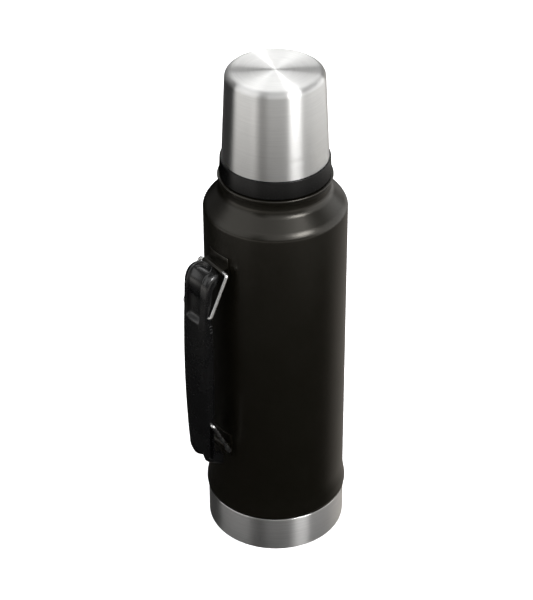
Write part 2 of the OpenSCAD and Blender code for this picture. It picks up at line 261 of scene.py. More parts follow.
def tube_along(path, radius, sides):
    """A round rod along a path of points, with rounded ends."""
    pts = [Vector(p) for p in path]
    tangents = [(pts[min(i + 1, len(pts) - 1)] - pts[max(i - 1, 0)]).normalized() for i in range(len(pts))]
    side = tangents[0].orthogonal().normalized()
    frames = []
    for i, t in enumerate(tangents):
        side = (side - t * side.dot(t)).normalized()
        frames.append((pts[i], side, t.cross(side), 1.0))
    first, last = frames[0], frames[-1]
    head = [(first[0] + tangents[0] * radius * DOME_LENGTH * (1 - s), first[1], first[2], r)
            for r, s in DOME]
    tail = [(last[0] - tangents[-1] * radius * DOME_LENGTH * (1 - s), last[1], last[2], r)
            for r, s in backwards(DOME)]
    frames = head + frames[1:-1] + tail
    turn = [(math.cos(2 * math.pi * k / sides), math.sin(2 * math.pi * k / sides)) for k in range(sides)]
    return skin([[p + (u * cosine + v * sine) * radius * share for cosine, sine in turn]
                 for p, u, v, share in frames])


def rounded_bar(lo, hi, r, n=4):
    """A box with rounded vertical and horizontal edges, drawn as stacked rounded rectangles along Z."""
    least_r, reach = 0.02, 0.98

    def ring(inset, z):
        x0, x1, y0, y1 = lo[0] + inset, hi[0] - inset, lo[1] + inset, hi[1] - inset
        rr = max(r - inset, least_r)
        corners = ((x1 - rr, y1 - rr), (x0 + rr, y1 - rr), (x0 + rr, y0 + rr), (x1 - rr, y0 + rr))
        pts = []
        for corner, (cx, cy) in enumerate(corners):
            pts += [(x, y, z) for x, y in arc(cx, cy, rr, 90 * corner, 90 * corner + 90, n)]
        return pts

    rings = []
    for k in range(n + 1):
        a = math.pi / 2 * k / n
        rings.append(ring(r * (1 - math.sin(a)) * reach, lo[2] + r * (1 - math.cos(a))))
    for k in range(n, -1, -1):
        a = math.pi / 2 * k / n
        rings.append(ring(r * (1 - math.sin(a)) * reach, hi[2] - r * (1 - math.cos(a))))
    return skin(rings)


def cut(obj, cutter_shape):
    """Takes the cutter away from obj and keeps the result as obj's own mesh."""
    cutter = cutter_shape.object(obj.name + "_cutter", [])
    mod = obj.modifiers.new("cut", "BOOLEAN")
    mod.operation, mod.solver, mod.object = "DIFFERENCE", "EXACT", cutter
    mod.use_self = False
    evaluated = obj.evaluated_get(bpy.context.evaluated_depsgraph_get())
    mesh = bpy.data.meshes.new_from_object(evaluated)
    obj.modifiers.clear()
    old = obj.data
    obj.data = mesh
    bpy.data.meshes.remove(old)
    bpy.data.objects.remove(cutter)
    shade(mesh, SHARP_CUT)


# ---------------------------------------------------------------- materials


class Paint:
    """A Principled material with short helpers for its nodes."""

    MIX_A, MIX_B, MIX_COLOUR = 6, 7, 2

    def __init__(self, name, color, rough, metal=0.0, specular=0.5, **inputs):
        self.mat = bpy.data.materials.new(name)
        self.mat.use_nodes = True
        self.tree = self.mat.node_tree
        self.bsdf = self.tree.nodes["Principled BSDF"]
        self.set(self.bsdf, "Base Color", (*color, 1))
        self.set(self.bsdf, "Roughness", rough)
        self.set(self.bsdf, "Metallic", metal)
        self.set(self.bsdf, "Specular IOR Level", specular)
        for key, value in inputs.items():
            self.set(self.bsdf, key.replace("_", " "), value)
        self.coords = self.node("ShaderNodeTexCoord").outputs["Object"]
        self.normal = None

    def node(self, kind, **props):
        n = self.tree.nodes.new(kind)
        for key, value in props.items():
            setattr(n, key, value)
        return n

    def set(self, node, name, value):
        socket = node.inputs[name]
        if isinstance(value, bpy.types.NodeSocket):
            self.tree.links.new(value, socket)
        else:
            socket.default_value = value

    def math(self, op, a, b=0.0):
        n = self.node("ShaderNodeMath", operation=op)
        self.set(n, 0, a)
        self.set(n, 1, b)
        return n.outputs[0]

    def noise(self, scale, detail=2.0, rough=0.5, vector=None):
        n = self.node("ShaderNodeTexNoise")
        self.set(n, "Vector", vector or self.coords)
        self.set(n, "Scale", scale)
        self.set(n, "Detail", detail)
        self.set(n, "Roughness", rough)
        return n.outputs["Fac"]

    def span(self, value, low_out, high_out, low_in=0.3, high_in=0.7):
        n = self.node("ShaderNodeMapRange")
        self.set(n, "Value", value)
        self.set(n, "From Min", low_in)
        self.set(n, "From Max", high_in)
        self.set(n, "To Min", low_out)
        self.set(n, "To Max", high_out)
        return n.outputs[0]

    def mix(self, factor, a, b):
        n = self.node("ShaderNodeMix", data_type="RGBA")
        self.set(n, 0, factor)
        self.set(n, self.MIX_A, (*a, 1))
        self.set(n, self.MIX_B, (*b, 1))
        return n.outputs[self.MIX_COLOUR]

    def glow(self, color, strength):
        self.set(self.bsdf, "Emission Color", (*color, 1))
        self.set(self.bsdf, "Emission Strength", strength)
        return self

    def bump(self, height, strength, depth_mm):
        n = self.node("ShaderNodeBump")
        self.set(n, "Height", height)
        self.set(n, "Strength", strength)
        self.set(n, "Distance", depth_mm * MM)
        if self.normal:
            self.set(n, "Normal", self.normal)
        self.normal = n.outputs[0]
        self.set(self.bsdf, "Normal", self.normal)
        return self

    def rings(self, per_mm, around):
        """A texture place that changes fast along the outline and slowly round the axis, without a seam."""
        parts = self.node("ShaderNodeSeparateXYZ")
        self.set(parts, 0, self.coords)
        x, y, z = parts.outputs
        r = self.math("SQRT", self.math("ADD", self.math("MULTIPLY", x, x), self.math("MULTIPLY", y, y)))
        r = self.math("MAXIMUM", r, ON_AXIS)
        join = self.node("ShaderNodeCombineXYZ")
        self.set(join, 0, self.math("MULTIPLY", self.math("DIVIDE", x, r), around))
        self.set(join, 1, self.math("MULTIPLY", self.math("DIVIDE", y, r), around))
        self.set(join, 2, self.math("MULTIPLY", self.math("ADD", r, z), per_mm / MM))
        return join.outputs[0]


def brushed(name, dark, light, rough, aniso):
    """Turned steel: fine rings round the axis, with the highlight stretched across them."""
    m = Paint(name, light, rough, metal=1.0)
    fine = m.noise(1.0, 3.0, 0.6, m.rings(per_mm=2.6, around=1.1))
    broad = m.noise(1.0, 2.0, 0.5, m.rings(per_mm=0.45, around=0.8))
    both = m.math("ADD", m.math("MULTIPLY", fine, 0.7), m.math("MULTIPLY", broad, 0.3))
    m.set(m.bsdf, "Base Color", m.mix(m.span(both, 0, 1, 0.36, 0.64), dark, light))
    m.set(m.bsdf, "Roughness", m.span(both, rough * 1.15, rough * 0.85))
    m.set(m.bsdf, "Anisotropic", aniso)
    m.set(m.bsdf, "Anisotropic Rotation", 0.25)
    tangent = m.node("ShaderNodeTangent", direction_type="RADIAL", axis="Z")
    m.set(m.bsdf, "Tangent", tangent.outputs[0])
    m.bump(fine, strength=0.25, depth_mm=0.004)
    return m.mat


def powder_coat():
    m = Paint("body_paint", (0.002, 0.0018, 0.0014), 0.3, specular=0.43, Specular_Tint=(1, 0.955, 0.87, 1))
    grain = m.noise(1500, 3.0, 0.55)
    peel = m.noise(520, 1.0, 0.5)
    wear = m.noise(38, 4.0, 0.6)
    m.set(m.bsdf, "Roughness", m.span(wear, 0.28, 0.33))
    m.set(m.bsdf, "Base Color", m.mix(m.span(grain, 0, 1), (0.0016, 0.0013, 0.0007), (0.003, 0.0026, 0.0014)))
    m.bump(peel, strength=0.35, depth_mm=0.05)
    m.bump(grain, strength=0.3, depth_mm=0.018)
    return m.mat


def moulded(name, color, rough, grain=1.0, specular=0.5, wear=0.14):
    """Plastic with a fine grain; wear is how far scuffs change its colour and roughness."""
    m = Paint(name, color, rough, specular=specular)
    fine = m.noise(2400, 2.0, 0.6)
    scuff = m.noise(60, 5.0, 0.62)
    dark, light = [c * (1 - wear) for c in color], [c * (1 + wear) for c in color]
    m.set(m.bsdf, "Roughness", m.span(scuff, rough * (1 - wear), rough * (1 + wear)))
    m.set(m.bsdf, "Base Color", m.mix(m.span(scuff, 0, 1), dark, light))
    m.bump(fine, strength=0.22 * grain, depth_mm=0.02)
    return m.mat


def chrome():
    m = Paint("wire_chrome", (0.60, 0.60, 0.59), 0.28, metal=1.0)
    die = m.noise(240, 3.0, 0.6)
    m.set(m.bsdf, "Roughness", m.span(die, 0.24, 0.34))
    m.bump(m.noise(900, 2.0), strength=0.12, depth_mm=0.006)
    return m.mat


def foam():
    m = Paint("foam", (0.78, 0.74, 0.62), 0.85)
    cells = m.node("ShaderNodeTexVoronoi")
    m.set(cells, "Vector", m.coords)
    m.set(cells, "Scale", 1400.0)
    m.bump(cells.outputs["Distance"], strength=0.5, depth_mm=0.1)
    return m.mat


def crinkled_foil():
    m = Paint("foil", (0.83, 0.83, 0.84), 0.22, metal=1.0)
    m.bump(m.noise(170, 4.0, 0.6), strength=0.6, depth_mm=0.4)
    return m.mat


def sintered():
    m = Paint("seal_metal", (0.3, 0.3, 0.31), 0.6, metal=1.0)
    m.bump(m.noise(2600, 3.0), strength=0.5, depth_mm=0.05)
    return m.mat


def rubber(name, color, rough):
    m = Paint(name, color, rough, specular=0.4)
    m.bump(m.noise(1800, 3.0), strength=0.2, depth_mm=0.02)
    return m.mat


PAINT = powder_coat()
CUP_STEEL = brushed("cup_steel", (0.68, 0.68, 0.67), (0.74, 0.74, 0.73), rough=0.36, aniso=1.0)
BASE_STEEL = brushed("base_steel", (0.64, 0.633, 0.622), (0.77, 0.76, 0.747), rough=0.34, aniso=1.0)
LINER_STEEL = brushed("liner_steel", (0.50, 0.49, 0.48), (0.66, 0.65, 0.64), rough=0.26, aniso=0.6)
WIRE = chrome()
GRIP = moulded("grip_plastic", (0.0018, 0.0018, 0.0019), rough=0.27, specular=0.6)
STOPPER = moulded("stopper_plastic", (0.018, 0.018, 0.019), rough=0.42)
COLLAR = moulded("collar_plastic", (0.0016, 0.0016, 0.0016), rough=0.25, grain=0.6, specular=0.22, wear=0.04)
SILICONE = rubber("silicone", (0.42, 0.42, 0.40), 0.45)
BLACK_RUBBER = rubber("black_rubber", (0.008, 0.008, 0.008), 0.5)
FOAM, FOIL, SEAL = foam(), crinkled_foil(), sintered()


def place(obj, body, slot, *nodes):
    """Hangs the object on a moving body and puts it in the stead of the CAD nodes."""
    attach(obj, body)
    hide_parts(*nodes)


def turned(name, outline, steps, material, body, slot, *nodes):
    """One lathed piece of one material, in its place."""
    place(Shape().add(*lathe(outline, steps)).object(name, [material]), body, slot, *nodes)


# ---------------------------------------------------------------- bottle

SHELL_STEPS, LINER_STEPS, STOPPER_STEPS = 256, 224, 192
BEAD_Z = BASE_Z + 1.2
TUCK_R = BASE_R - 1.1
INSIDE_TUCK_R = TUCK_R + 0.02

# The shoulder falls from the rim by a band round a waist, a cove, a cone, a wide blend and a tight corner
BAND_H, COVE_R, CONE_A, BLEND_R, BLEND_A, CORNER_R = 7.8, 8, 45, 14, 62, 5
WAIST_R = RIM_R - 1.6
BAND_LOW = RIM_Z - BAND_H
cove_end = (WAIST_R + COVE_R * (1 - math.sin(rad(CONE_A))), BAND_LOW - COVE_R * math.cos(rad(CONE_A)))
corner_x = BODY_R - CORNER_R * (1 - math.sin(rad(BLEND_A)))
blend_x = corner_x - BLEND_R * (math.sin(rad(BLEND_A)) - math.sin(rad(CONE_A)))
blend_z = cove_end[1] - (blend_x - cove_end[0]) * math.tan(rad(CONE_A))
blend_c = (blend_x - BLEND_R * math.sin(rad(CONE_A)), blend_z - BLEND_R * math.cos(rad(CONE_A)))
corner_z = blend_c[1] + BLEND_R * math.cos(rad(BLEND_A))
corner_c = (corner_x - CORNER_R * math.sin(rad(BLEND_A)), corner_z - CORNER_R * math.cos(rad(BLEND_A)))


def shell():
    flare = [(BODY_R, 47.5), (BODY_R + 0.02, 46), (BODY_R + 0.16, 42), (BODY_R + 0.62, 38),
             (BEAD_R - 0.1, 33)]
    bead_top = arc(BEAD_R - 1.5, BEAD_Z + 2.6, 1.5, 25, -20, 6)
    bead_low = arc(BEAD_R - 1.1, BEAD_Z + 0.9, 0.9, -10, -90, 6)
    band = rounded([(WAIST_R, BAND_LOW + 0.1), (WAIST_R + 0.2, RIM_Z - 4.5), (RIM_R - 0.23, RIM_Z - 1.64)], 3)
    painted = ([(TUCK_R, 4), (TUCK_R, BEAD_Z - 0.1)]
               + backwards(bead_top + bead_low) + backwards(flare)
               + arc(*corner_c, CORNER_R, 0, 90 - BLEND_A, 10)
               + arc(*blend_c, BLEND_R, 90 - BLEND_A, 90 - CONE_A, 10)
               + backwards(arc(WAIST_R + COVE_R, BAND_LOW, COVE_R, 180, 270 - CONE_A, 16))
               + band[1:-1]
               + arc(RIM_R - 1, RIM_Z - 1, 1, -40, 90, 10))
    root = 2.2
    bare = ([(NECK_R + root, RIM_Z)] + backwards(arc(NECK_R + root, RIM_Z + root, root, 180, 270, 8))
            + [(NECK_R, LIP_Z - 0.6)])
    outer = painted + bare
    shape = Shape().add(*lathe(outer + backwards(shifted(outer, SHELL_WALL)), SHELL_STEPS))
    bare_bands = range(len(painted), len(outer))
    shape.mats = [int(face // SHELL_STEPS in bare_bands) for face in range(len(shape.faces))]
    shape.add(*helix(NECK_R, NECK_R + RIDGE, RIM_Z + 5.2, 2.0, 40), mat=1)
    place(shape.object("shell", [PAINT, LINER_STEEL]), "bottle", "body_paint", "outer_shell")


def liner():
    foot_r, shoulder_r, shoulder_z, lip_r, roll = 9, 12, 244, 1, 0.6
    outline = ([(0, LINER_LOW + 1.5), (LINER_R - foot_r, LINER_LOW)]
               + arc(LINER_R - foot_r, LINER_LOW + foot_r, foot_r, -80, 0, 14)
               + arc(LINER_R - shoulder_r, shoulder_z, shoulder_r, 0, 60, 14)
               + rounded([(THROAT_R + 2.1, 261.4), (THROAT_R, 265), (THROAT_R, THROAT_Z - 0.5),
                          (THROAT_R + 0.6, THROAT_Z), (MOUTH_R - 0.6, THROAT_Z + 0.6),
                          (MOUTH_R, THROAT_Z + 1.4), (MOUTH_R, LIP_Z - 1)], 0.8))
    lip = (arc(MOUTH_R + lip_r, LIP_Z - lip_r, lip_r, 180, 90, 8) + [(NECK_R - roll, LIP_Z)]
           + arc(NECK_R - roll, LIP_Z - roll, roll, 90, 0, 6))
    back = [(NECK_R - 0.4, LIP_Z - 0.62), (MOUTH_R + 1.4, LIP_Z - 0.7), (MOUTH_R + 0.5, LIP_Z - 1.6)]
    wall = backwards(shifted(outline, -LINER_WALL))[1:]
    shape = Shape().add(*lathe(outline + lip + back + wall, LINER_STEPS))
    shape.add(*helix(MOUTH_R, MOUTH_R - RIDGE + 0.1, LIP_Z - 15.6, 2.4, 10))
    place(shape.object("liner", [LINER_STEEL]), "bottle", "liner_steel", "inner_liner", "liner_bottom")


def base():
    edge_r, lip_r, wall = 2, 0.5, 0.8
    outline = (rounded([(0, 0), (27, 0), (27.4, 0.4), (38.6, 0.4), (39, 0), (BASE_R - edge_r, 0)], 0.2)
               + arc(BASE_R - edge_r, edge_r, edge_r, -90, 0, 10)
               + arc(BASE_R - lip_r, BASE_Z - lip_r, lip_r, 0, 90, 6)
               + [(INSIDE_TUCK_R, BASE_Z), (INSIDE_TUCK_R, 3), (TUCK_R - 2, wall), (0, wall)])
    turned("base", outline, SHELL_STEPS, BASE_STEEL, "bottle", "base_steel", "base_cup")


def bead():
    z0, z1 = low("seal_bead").z, high("seal_bead").z
    middle, r = (z0 + z1) / 2, (z1 - z0) / 2
    outline = [(INSIDE_TUCK_R, z0)] + arc(BASE_R - 0.5 - r, middle, r, -90, 90, 8) + [(INSIDE_TUCK_R, z1)]
    turned("bead", outline, LINER_STEPS, BLACK_RUBBER, "bottle", "black_rubber", "seal_bead")


# ---------------------------------------------------------------- handle

CURL_R, CURL_IN = WIRE_R + 0.96, WIRE_R + WIRE_PLAY
BRACKET_HW = high("top_bracket").y


def bracket(name, bar, node):
    """A welded plate with rounded edges, and a rolled sheet curl that holds the wire's bar."""
    plate_lo, plate_hi = low(node).z, high(node).z
    thick, soft, corner, sunk = 1.0, 0.35, 1.2, 0.2
    section = (arc(BODY_R + thick - soft, plate_hi - soft, soft, 90, 0, 4)
               + arc(BODY_R + thick - soft, plate_lo + soft, soft, 0, -90, 4)
               + [(BODY_R - sunk, plate_lo), (BODY_R - sunk, plate_hi)])
    reach = math.asin(BRACKET_HW / BODY_R)
    steps = 28
    plate = []
    for i in range(steps + 1):
        t = -1 + 2 * i / steps
        inset = max(0.0, abs(t) * reach * BODY_R - (reach * BODY_R - corner))
        drop = corner - math.sqrt(max(0.0, corner ** 2 - inset ** 2))
        plate.append([(r * math.cos(t * reach), r * math.sin(t * reach),
                       min(max(z, plate_lo + drop), plate_hi - drop)) for r, z in section])
    sheet, wall_x, squeeze, skin_in = 0.9, -(bar.x - BODY_R), 0.8, 0.2
    loop = ([(wall_x, CURL_R)] + arc(0, 0, CURL_R, 95, -165, 26)
            + arc(0, 0, CURL_IN, -165, 95, 26) + [(wall_x, CURL_R - sheet)])
    mid = (CURL_R + CURL_IN) / 2
    curl = []
    for y, s in ((-BRACKET_HW, squeeze), (-BRACKET_HW + skin_in, 1.0),
                 (BRACKET_HW - skin_in, 1.0), (BRACKET_HW, squeeze)):
        ring = []
        for px, pz in loop:
            d = math.hypot(px, pz)
            k = (mid + (d - mid) * s) / d if px > -2.0 and d < CURL_R + 0.3 else 1.0
            ring.append((bar.x + px * k, y, bar.z + pz * k))
        curl.append(ring)
    shape = Shape().add(*skin(plate)).add(*skin(curl))
    place(shape.object(name, [PAINT]), "bottle", "body_paint", node)


def wire(name, bar, pin, node, body):
    """The bent wire: a bar in the curl, two legs and two ends that point inwards."""
    leg = Vector((pin.x - bar.x, 0, pin.z - bar.z))
    along, y = leg.normalized(), Vector((0, 1, 0))
    tip_y, bend = 9.4, 1.6
    turn = [(bend * math.sin(rad(a)), bend * math.cos(rad(a))) for a in range(0, 91, 9)]
    path = []
    for s in (-1, 1):
        side = [pin + y * s * tip_y, pin + y * s * (tip_y + 0.6)]
        side += [pin + y * s * (LEG_Y - bend + sine) - along * (bend - cosine) for sine, cosine in turn]
        side += [pin + y * s * LEG_Y - along * (bend + (leg.length - 2 * bend) * t)
                 for t in (0.25, 0.5, 0.75)]
        side += [bar + y * s * (LEG_Y - bend + cosine) + along * (bend - sine) for sine, cosine in turn]
        path += side if s < 0 else backwards(side)
    place(Shape().add(*tube_along(path, WIRE_R, 24)).object(name, [WIRE]), body, "wire_chrome", node)


GRIP_IN, GRIP_HW, GRIP_MID_Z, GRIP_BOW = 63.4, high("grip_body").y, 155, 0.00075


def face_x(z):
    """The grip's outer face, which bows outwards."""
    return high("grip_body").x - GRIP_BOW * (z - GRIP_MID_Z) ** 2


def grip_stations():
    """Inner x and z, outer x and z and half width along the grip, from the nose to the foot."""
    nose = [(56, 227.4, 55.6, 233.2, 8.8), (56, 226.4, 55.8, 234.8, 10.4), (57.2, 225.6, 57.6, 235.6, 11.4),
            (60, 224.6, 60.8, 235.5, 12.1), (62, 222.6, 64.6, 233.8, 12.4), (62.8, 219, 68, 229.2, GRIP_HW),
            (63.2, 214.6, 69.3, 222, GRIP_HW)]
    middle = [(GRIP_IN, z, face_x(z), z, GRIP_HW) for z in range(212, 99, -14)]
    foot = [(63.2, 94, 69.2, 89.5, 12.4), (62.6, 90.4, 68.9, 83.8, 12.2), (60.4, 87, 66.6, 78.8, 12),
            (57, 84.4, 61.4, 74.4, 11.6), (54.8, 82.6, 55.8, 71.2, 10.8), (54.2, 80.8, 54.4, 72.6, 10)]
    return nose + middle + foot


def spline(values, t):
    """A smooth value through a list, at position t from 0 to 1 for each gap."""
    i = min(int(t), len(values) - 2)
    f = t - i
    p = [values[max(0, min(len(values) - 1, k))] for k in (i - 1, i, i + 1, i + 2)]
    m1, m2 = (p[2] - p[0]) / 2, (p[3] - p[1]) / 2
    f2, f3 = f * f, f * f * f
    return (2 * f3 - 3 * f2 + 1) * p[1] + (f3 - 2 * f2 + f) * m1 + (-2 * f3 + 3 * f2) * p[2] + (f3 - f2) * m2


# The thumb pocket, by the way s along the grip's outer face from the nose
POCKET_HW, POCKET_START, POCKET_ROUND, POCKET_LEDGE_Z, POCKET_DEPTH = 7.0, 2.3, 6.0, 197.5, 3.0
LEDGE_RUN, LIP_RISE, LIP_OUT, LIP_HW, LIP_FADE = 3.2, 0.35, 0.8, 0.6, (22, 34)

# The grip's section, as shares of its half width and of its depth
SOFT_EDGE, SIDE_DEPTHS, CROWN_START, CROWN_RISE, CROWN_POWER = 0.12, (0.25, 0.38), 0.46, 0.533, 0.4
BACK_POINTS, CROWN_POINTS, TABLE_POINTS = 12, 120, 400

# Steps between the grip's sections: fine at the pocket's two ends, coarser elsewhere
POCKET_END_STEP, POCKET_STEP, GRIP_STEP, FOOT_SAVING = 0.4, 1.0, 1.5, 0.8
NOSE_LENGTH, LEDGE_LENGTH, PAST_LEDGE, FOOT_LENGTH = 16, 4.5, 2.0, 22

# The lower wire's ends slide down the grip as it swings out, so their slots are as long as that travel
LEG = TOP_PIN - TOP_BAR
leg_a, swing = math.atan2(LEG.x, -LEG.z), rad(joints["handle_swing"]["range_deg"][1])
SLOT_LOW_Z = LOW_PIN.z - 2 * LEG.length * (math.cos(leg_a) - math.cos(leg_a + swing)) - SLOT_SPARE
HOLE_Y = (9.0, 15.0)


def pocket(s, y):
    """How far inside the pocket's outline a point is, in mm; the nose end is a round U."""
    u = max(0.0, (POCKET_START + POCKET_ROUND - s) / POCKET_ROUND)
    return POCKET_HW * (1 - math.hypot(u, y / POCKET_HW))


def crown_depth(s, y, half_width, full_depth, ledge_s):
    """The outer face's place across the grip, as a share of its full depth, with the pocket sunk into it."""
    depth = CROWN_START + CROWN_RISE * (1 - min(1, abs(y / half_width)) ** 2) ** CROWN_POWER
    edge = pocket(s, y)
    inside = smooth(edge, -0.2, 0.7) * smooth(ledge_s - s, 0, LEDGE_RUN)
    depth += LIP_RISE / full_depth * math.exp(-((edge + LIP_OUT) / LIP_HW) ** 2) * (1 - smooth(s, *LIP_FADE))
    dish = 0.05 * (1 - (y / POCKET_HW) ** 2 if abs(y) < POCKET_HW else 0)
    bottom = 1 - POCKET_DEPTH / full_depth - dish
    return depth + (min(depth, bottom) - depth) * inside


def grip_ring(s, station, ledge_s):
    """One closed section of the grip: its back, a soft edge and a side, the crown, and back again."""
    inner, outer, half_width = Vector(station[0:2]), Vector(station[2:4]), station[4]
    corner = arc(1 - SOFT_EDGE, SOFT_EDGE, SOFT_EDGE, -90, 0, 5)[1:]
    side = corner + [(1, depth) for depth in SIDE_DEPTHS]
    spots = [((1 - SOFT_EDGE) * (2 * k / BACK_POINTS - 1), 0) for k in range(BACK_POINTS + 1)] + side
    for k in range(CROWN_POINTS, -1, -1):
        share = math.sin((2 * k / CROWN_POINTS - 1) * math.pi / 2)
        full_depth = (outer - inner).length
        spots.append((share, crown_depth(s, half_width * share, half_width, full_depth, ledge_s)))
    spots += [(-share, depth) for share, depth in backwards(side)]
    ring = []
    for share, depth in spots:
        p = inner + (outer - inner) * depth
        ring.append((p.x, half_width * share, p.y))
    return ring


def grip_stops(length, ledge_s):
    """Where the grip's sections stand, from the nose to the foot."""
    stops, s = [], 0.0
    while s < length:
        stops.append(s)
        near_pocket = s < ledge_s + PAST_LEDGE
        if near_pocket and (s < NOSE_LENGTH or s > ledge_s - LEDGE_LENGTH):
            s += POCKET_END_STEP
        else:
            s += POCKET_STEP if near_pocket else GRIP_STEP
        if s > length - FOOT_LENGTH:
            s -= FOOT_SAVING
    return stops + [length]


def grip_cutter():
    """The recess in the foot, the holes for the upper wire's ends and the slots for the lower wire's."""
    cutter = Shape().add(*rounded_bar((50, -6, 66), (75, 6, 86), 1.2))
    hole_r, slot_r = WIRE_R + WIRE_PLAY, WIRE_R + SLOT_PLAY
    hole = arc(TOP_PIN.x, TOP_PIN.z, hole_r, 0, 345, 23)
    slot = (arc(LOW_PIN.x, LOW_PIN.z, slot_r, 0, 165, 11) + [(LOW_PIN.x - slot_r, SLOT_LOW_Z)]
            + arc(LOW_PIN.x, SLOT_LOW_Z, slot_r, 180, 360, 12))
    for s in (-1, 1):
        for outline in (hole, slot):
            cutter.add(*skin([[(x, s * y, z) for x, z in outline] for y in HOLE_Y]))
    return cutter


def grip():
    columns = list(zip(*grip_stations()))
    gaps = len(columns[0]) - 1

    def at(t):
        return [spline(c, t) for c in columns]

    length, table, last = 0.0, [], None
    for k in range(TABLE_POINTS + 1):
        t = k / TABLE_POINTS * gaps
        p = Vector(at(t)[2:4])
        length += (p - last).length if last else 0.0
        last = p
        table.append((length, t))

    def station(s):
        """The grip's inner and outer point and half width, s mm along its outer face."""
        for (l0, t0), (l1, t1) in zip(table, table[1:]):
            if l1 >= s:
                return at(t0 + (t1 - t0) * (s - l0) / max(l1 - l0, 1e-9))
        return at(table[-1][1])

    ledge_s = next(way for way, t in table if at(t)[3] < POCKET_LEDGE_Z)
    rings = [grip_ring(s, station(s), ledge_s) for s in grip_stops(length, ledge_s)]
    first = rings[0]
    centre = sum((Vector(p) for p in first), Vector()) / len(first)
    for shrink, push in ((0.93, 0.35), (0.78, 0.62), (0.5, 0.75)):
        ring = [tuple(centre + (Vector(p) - centre) * shrink + Vector((-push, 0, 0))) for p in first]
        rings.insert(0, ring)
    obj = Shape().add(*skin(rings)).object("grip", [GRIP], sharp=SHARP_GRIP)
    cut(obj, grip_cutter())
    place(obj, "grip", "grip_plastic", "grip_body")


def grip_cover():
    lo, hi = low("grip_cover"), high("grip_cover")
    shape = Shape().add(*rounded_bar(lo, hi, 0.45))
    rib_out, rib_over, rib_half = 2.2, 1.1, 0.6
    for k in range(3):
        z = hi.z + 3.6 - 2.5 * k
        shape.add(*rounded_bar((hi.x - 0.1, lo.y - rib_over, z - rib_half),
                               (hi.x + rib_out, hi.y + rib_over, z + rib_half), 0.4))
    place(shape.object("grip_cover_plate", [GRIP]), "grip", "grip_plastic", "grip_cover")


# ---------------------------------------------------------------- stopper

KNOB_R, RIBS, RIB_RISE = 24.5, 24, 0.95
CAVITY_R = 21.6
SHANK_R = MOUTH_R - 1.7
FLANGE_TOP = FLANGE_Z + 3.2
PLUG_TOP_R = THROAT_R - 1.6


def stopper():
    z0 = GASKET_HIGH
    grip_z = FLANGE_Z + 3.4
    lid_r, lid_z, edge_r, knob_bands = CAVITY_R + 0.6, STOPPER_TOP - 1.6, 2, 6
    outline = ([(0, z0), (SHANK_R - 1, z0), (SHANK_R, z0 + 0.8), (SHANK_R, FLANGE_Z - 0.4)]
               + rounded([(SHANK_R, FLANGE_Z - 0.4), (SHANK_R + 0.4, FLANGE_Z), (FLANGE_R, FLANGE_Z),
                          (FLANGE_R, FLANGE_TOP), (KNOB_R, FLANGE_TOP)], [0, 0.3, 0.9, 1.2, 0], 6)
               + [(KNOB_R, grip_z + (STOPPER_TOP - edge_r - grip_z) * k / knob_bands)
                  for k in range(knob_bands + 1)]
               + arc(KNOB_R - edge_r, STOPPER_TOP - edge_r, edge_r, 10, 90, 8)
               + rounded([(KNOB_R - edge_r, STOPPER_TOP), (lid_r, STOPPER_TOP), (lid_r, lid_z), (0, lid_z)],
                         [0, 0.3, 0.0, 0]))

    def ripple(a, r, z):
        """Thumb ribs round the knob that fade out at its top and bottom."""
        if z < FLANGE_Z + 3.3 or r < KNOB_R - 1.4:
            return r
        bottom_fade = smooth(z, FLANGE_Z + 3.3, FLANGE_Z + 4.2)
        top_fade = 1 - smooth(z, STOPPER_TOP - 1.9, STOPPER_TOP - 0.4)
        return r + RIB_RISE * bottom_fade * top_fade * max(0.0, math.cos(a * RIBS)) ** 0.8

    shape = Shape().add(*lathe(outline, 2 * STOPPER_STEPS, ripple))
    shape.add(*helix(SHANK_R, MOUTH_R - RIDGE, LIP_Z - 18.2, 2.4, 200))
    place(shape.object("stopper", [STOPPER]), "stopper", "stopper_plastic", "stopper_body")


def stopper_cap():
    top, bottom = high("stopper_cap").z, low("stopper_cap").z
    r = CAVITY_R + 0.55
    outline = ([(0, bottom + 0.05), (r - 0.3, bottom + 0.05)]
               + rounded([(r, bottom + 0.3), (r, top), (r - 2.6, top), (r - 3.4, top - 0.5), (0, top - 0.5)],
                         [0, 0.4, 0.5, 0.5, 0]))
    turned("stopper_top_disc", outline, STOPPER_STEPS, STOPPER, "stopper", "stopper_plastic", "stopper_cap")


def plug():
    r = high("stopper_plug").x
    dish_z = PLUG_LOW + 0.6
    outline = rounded([(0, dish_z), (r - 4, dish_z), (r - 4.6, PLUG_LOW), (r, PLUG_LOW), (r, GASKET_LOW),
                       (PLUG_TOP_R, GASKET_LOW), (PLUG_TOP_R, PLUG_TOP), (0, PLUG_TOP)],
                      [0, 0.4, 0.3, 1.6, 0.3, 0.1, 0.3, 0])
    turned("plug", outline, STOPPER_STEPS, STOPPER, "stopper", "stopper_plastic", "stopper_plug")


def gasket():
    mid, lobe = (GASKET_LOW + GASKET_HIGH) / 2, 1.0
    outline = ([(PLUG_TOP_R, GASKET_LOW), (GASKET_R - 1.4, GASKET_LOW)]
               + arc(GASKET_R - lobe, GASKET_LOW + lobe, lobe, -80, 10, 6)
               + [(GASKET_R - 0.7, mid)]
               + arc(GASKET_R - lobe, GASKET_HIGH - lobe, lobe, -10, 90, 6)
               + [(PLUG_TOP_R, GASKET_HIGH)])
    turned("gasket", outline, STOPPER_STEPS, SILICONE, "stopper_seals", "silicone", "stopper_gasket")


